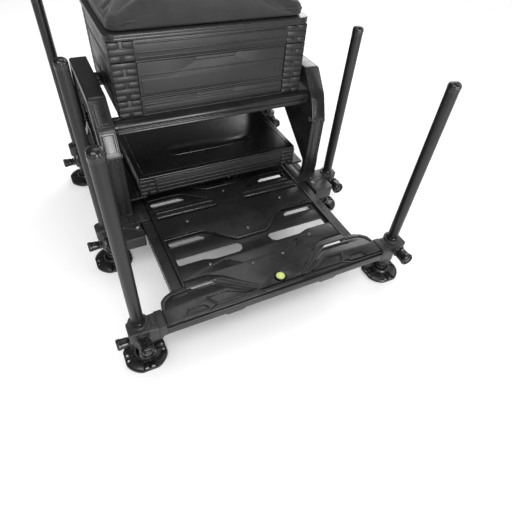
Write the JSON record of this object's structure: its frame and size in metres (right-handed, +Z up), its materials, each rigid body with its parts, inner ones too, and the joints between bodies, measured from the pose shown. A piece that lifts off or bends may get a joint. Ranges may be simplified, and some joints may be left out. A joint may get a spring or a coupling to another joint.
{
  "type": "fishing seat box",
  "caption": "Fishing seat box on adjustable round legs with swivelling mud feet, slide-out footplate, tray stack and padded seat.",
  "frame": {"origin": "middle of the overall box, on the ground under the feet", "axes": "+X to the right seen from the front, +Y from the footplate to the rear of the seat, +Z up"},
  "size_m": [0.7436, 0.8084, 0.5642],
  "materials": {
    "tube_coat": "satin black coated aluminium tube",
    "gloss_black": "polished black plastic",
    "foot_nylon": "dark moulded nylon",
    "knob_nylon": "satin moulded nylon",
    "casting_paint": "fine black texture paint",
    "anodised_bar": "black anodised extrusion",
    "tread_plastic": "satin moulded black plastic",
    "lime_plastic": "pale lime plastic",
    "dark_steel": "plated steel",
    "frame_plastic": "satin moulded black plastic",
    "tray_plastic": "matt moulded black plastic",
    "cushion_cover": "black padded cover"
  },
  "bodies": {
    "root": {"base_channel_left": "anodised_bar", "base_channel_right": "anodised_bar", "cross_tubes": "anodised_bar", "mid_castings": "casting_paint", "rear_castings": "casting_paint", "side_frame_left": "frame_plastic", "side_frame_right": "frame_plastic", "upper_rails": "anodised_bar", "case_runners": "tray_plastic", "low_drawer_unit": "tray_plastic", "deep_drawer_unit": "tray_plastic", "top_tray": "tray_plastic", "seat_hinge_pins": "dark_steel", "frame_bolts": "dark_steel"},
    "footplate": {"front_bar": "anodised_bar", "front_castings": "casting_paint", "footplate_rail_left": "anodised_bar", "footplate_rail_right": "anodised_bar", "footplate_tread": "tread_plastic", "footplate_screws": "dark_steel"},
    "button": {"footplate_button": "lime_plastic"},
    "low_case": {"case_tray": "tray_plastic", "case_lid": "gloss_black"},
    "low_drawer": {"low_drawer": "tray_plastic"},
    "deep_drawer": {"deep_drawer": "tray_plastic"},
    "seat": {"seat_base": "tray_plastic", "seat_cushion": "cushion_cover"},
    "leg_front_left": {"leg_tube_front_left": "tube_coat", "leg_fittings_front_left": "gloss_black"},
    "foot_front_left": {"foot_front_left": "foot_nylon"},
    "leg_knob_front_left": {"leg_knob_front_left": "knob_nylon"},
    "arm_knob_front_left": {"arm_knob_front_left": "knob_nylon"},
    "leg_front_right": {"leg_tube_front_right": "tube_coat", "leg_fittings_front_right": "gloss_black"},
    "foot_front_right": {"foot_front_right": "foot_nylon"},
    "leg_knob_front_right": {"leg_knob_front_right": "knob_nylon"},
    "arm_knob_front_right": {"arm_knob_front_right": "knob_nylon"},
    "leg_mid_left": {"leg_tube_mid_left": "tube_coat", "leg_fittings_mid_left": "gloss_black"},
    "foot_mid_left": {"foot_mid_left": "foot_nylon"},
    "leg_knob_mid_left": {"leg_knob_mid_left": "knob_nylon"},
    "arm_knob_mid_left": {"arm_knob_mid_left": "knob_nylon"},
    "leg_mid_right": {"leg_tube_mid_right": "tube_coat", "leg_fittings_mid_right": "gloss_black"},
    "foot_mid_right": {"foot_mid_right": "foot_nylon"},
    "leg_knob_mid_right": {"leg_knob_mid_right": "knob_nylon"},
    "arm_knob_mid_right": {"arm_knob_mid_right": "knob_nylon"},
    "leg_rear_left": {"leg_tube_rear_left": "tube_coat", "leg_fittings_rear_left": "gloss_black"},
    "foot_rear_left": {"foot_rear_left": "foot_nylon"},
    "leg_knob_rear_left": {"leg_knob_rear_left": "knob_nylon"},
    "arm_knob_rear_left": {"arm_knob_rear_left": "knob_nylon"},
    "leg_rear_right": {"leg_tube_rear_right": "tube_coat", "leg_fittings_rear_right": "gloss_black"},
    "foot_rear_right": {"foot_rear_right": "foot_nylon"},
    "leg_knob_rear_right": {"leg_knob_rear_right": "knob_nylon"},
    "arm_knob_rear_right": {"arm_knob_rear_right": "knob_nylon"}
  },
  "joints": [
    {"name": "footplate_slide", "type": "slide", "parent": "root", "child": "footplate", "axis": [0, 1, 0], "range_m": [0, 0.17]},
    {"name": "button_press", "type": "slide", "parent": "footplate", "child": "button", "axis": [0, 0, -1], "range_m": [0, 0.003], "stiffness_N_per_m": 300, "springref_m": -0.003},
    {"name": "case_slide", "type": "slide", "parent": "root", "child": "low_case", "axis": [0, -1, 0], "range_m": [0, 0.2]},
    {"name": "low_drawer_slide", "type": "slide", "parent": "root", "child": "low_drawer", "axis": [0, -1, 0], "range_m": [0, 0.2]},
    {"name": "deep_drawer_slide", "type": "slide", "parent": "root", "child": "deep_drawer", "axis": [0, -1, 0], "range_m": [0, 0.2]},
    {"name": "seat_hinge", "type": "hinge", "parent": "root", "child": "seat", "pos_m": [0, 0.32855, 0.50625], "axis": [-1, 0, 0], "range_deg": [0, 95]},
    {"name": "leg_slide_front_left", "type": "slide", "parent": "footplate", "child": "leg_front_left", "axis": [0, 0, 1], "range_m": [-0.36, 0.01]},
    {"name": "foot_tilt_front_left", "type": "hinge", "parent": "leg_front_left", "child": "foot_front_left", "pos_m": [-0.32, -0.33485, 0.02], "axis": [1, 0, 0], "range_deg": [-18, 18]},
    {"name": "leg_knob_turn_front_left", "type": "hinge", "parent": "footplate", "child": "leg_knob_front_left", "pos_m": [-0.32, -0.36885, 0.105], "axis": [0, -1, 0], "range_deg": [0, 270]},
    {"name": "arm_knob_turn_front_left", "type": "hinge", "parent": "footplate", "child": "arm_knob_front_left", "pos_m": [-0.3415, -0.33485, 0.065], "axis": [-1, 0, 0], "range_deg": [0, 270]},
    {"name": "leg_slide_front_right", "type": "slide", "parent": "footplate", "child": "leg_front_right", "axis": [0, 0, 1], "range_m": [-0.36, 0.01]},
    {"name": "foot_tilt_front_right", "type": "hinge", "parent": "leg_front_right", "child": "foot_front_right", "pos_m": [0.32, -0.33485, 0.02], "axis": [1, 0, 0], "range_deg": [-18, 18]},
    {"name": "leg_knob_turn_front_right", "type": "hinge", "parent": "footplate", "child": "leg_knob_front_right", "pos_m": [0.32, -0.36885, 0.105], "axis": [0, -1, 0], "range_deg": [0, 270]},
    {"name": "arm_knob_turn_front_right", "type": "hinge", "parent": "footplate", "child": "arm_knob_front_right", "pos_m": [0.3415, -0.33485, 0.065], "axis": [1, 0, 0], "range_deg": [0, 270]},
    {"name": "leg_slide_mid_left", "type": "slide", "parent": "root", "child": "leg_mid_left", "axis": [0, 0, 1], "range_m": [-0.36, 0.01]},
    {"name": "foot_tilt_mid_left", "type": "hinge", "parent": "leg_mid_left", "child": "foot_mid_left", "pos_m": [-0.32, -0.03085, 0.02], "axis": [1, 0, 0], "range_deg": [-18, 18]},
    {"name": "leg_knob_turn_mid_left", "type": "hinge", "parent": "root", "child": "leg_knob_mid_left", "pos_m": [-0.32, -0.06485, 0.105], "axis": [0, -1, 0], "range_deg": [0, 270]},
    {"name": "arm_knob_turn_mid_left", "type": "hinge", "parent": "root", "child": "arm_knob_mid_left", "pos_m": [-0.3415, -0.03085, 0.065], "axis": [-1, 0, 0], "range_deg": [0, 270]},
    {"name": "leg_slide_mid_right", "type": "slide", "parent": "root", "child": "leg_mid_right", "axis": [0, 0, 1], "range_m": [-0.36, 0.01]},
    {"name": "foot_tilt_mid_right", "type": "hinge", "parent": "leg_mid_right", "child": "foot_mid_right", "pos_m": [0.32, -0.03085, 0.02], "axis": [1, 0, 0], "range_deg": [-18, 18]},
    {"name": "leg_knob_turn_mid_right", "type": "hinge", "parent": "root", "child": "leg_knob_mid_right", "pos_m": [0.32, -0.06485, 0.105], "axis": [0, -1, 0], "range_deg": [0, 270]},
    {"name": "arm_knob_turn_mid_right", "type": "hinge", "parent": "root", "child": "arm_knob_mid_right", "pos_m": [0.3415, -0.03085, 0.065], "axis": [1, 0, 0], "range_deg": [0, 270]},
    {"name": "leg_slide_rear_left", "type": "slide", "parent": "root", "child": "leg_rear_left", "axis": [0, 0, 1], "range_m": [-0.36, 0.01]},
    {"name": "foot_tilt_rear_left", "type": "hinge", "parent": "leg_rear_left", "child": "foot_rear_left", "pos_m": [-0.32, 0.35915, 0.02], "axis": [1, 0, 0], "range_deg": [-18, 18]},
    {"name": "leg_knob_turn_rear_left", "type": "hinge", "parent": "root", "child": "leg_knob_rear_left", "pos_m": [-0.32, 0.32515, 0.105], "axis": [0, -1, 0], "range_deg": [0, 270]},
    {"name": "arm_knob_turn_rear_left", "type": "hinge", "parent": "root", "child": "arm_knob_rear_left", "pos_m": [-0.3415, 0.35915, 0.065], "axis": [-1, 0, 0], "range_deg": [0, 270]},
    {"name": "leg_slide_rear_right", "type": "slide", "parent": "root", "child": "leg_rear_right", "axis": [0, 0, 1], "range_m": [-0.36, 0.01]},
    {"name": "foot_tilt_rear_right", "type": "hinge", "parent": "leg_rear_right", "child": "foot_rear_right", "pos_m": [0.32, 0.35915, 0.02], "axis": [1, 0, 0], "range_deg": [-18, 18]},
    {"name": "leg_knob_turn_rear_right", "type": "hinge", "parent": "root", "child": "leg_knob_rear_right", "pos_m": [0.32, 0.32515, 0.105], "axis": [0, -1, 0], "range_deg": [0, 270]},
    {"name": "arm_knob_turn_rear_right", "type": "hinge", "parent": "root", "child": "arm_knob_rear_right", "pos_m": [0.3415, 0.35915, 0.065], "axis": [1, 0, 0], "range_deg": [0, 270]}
  ]
}
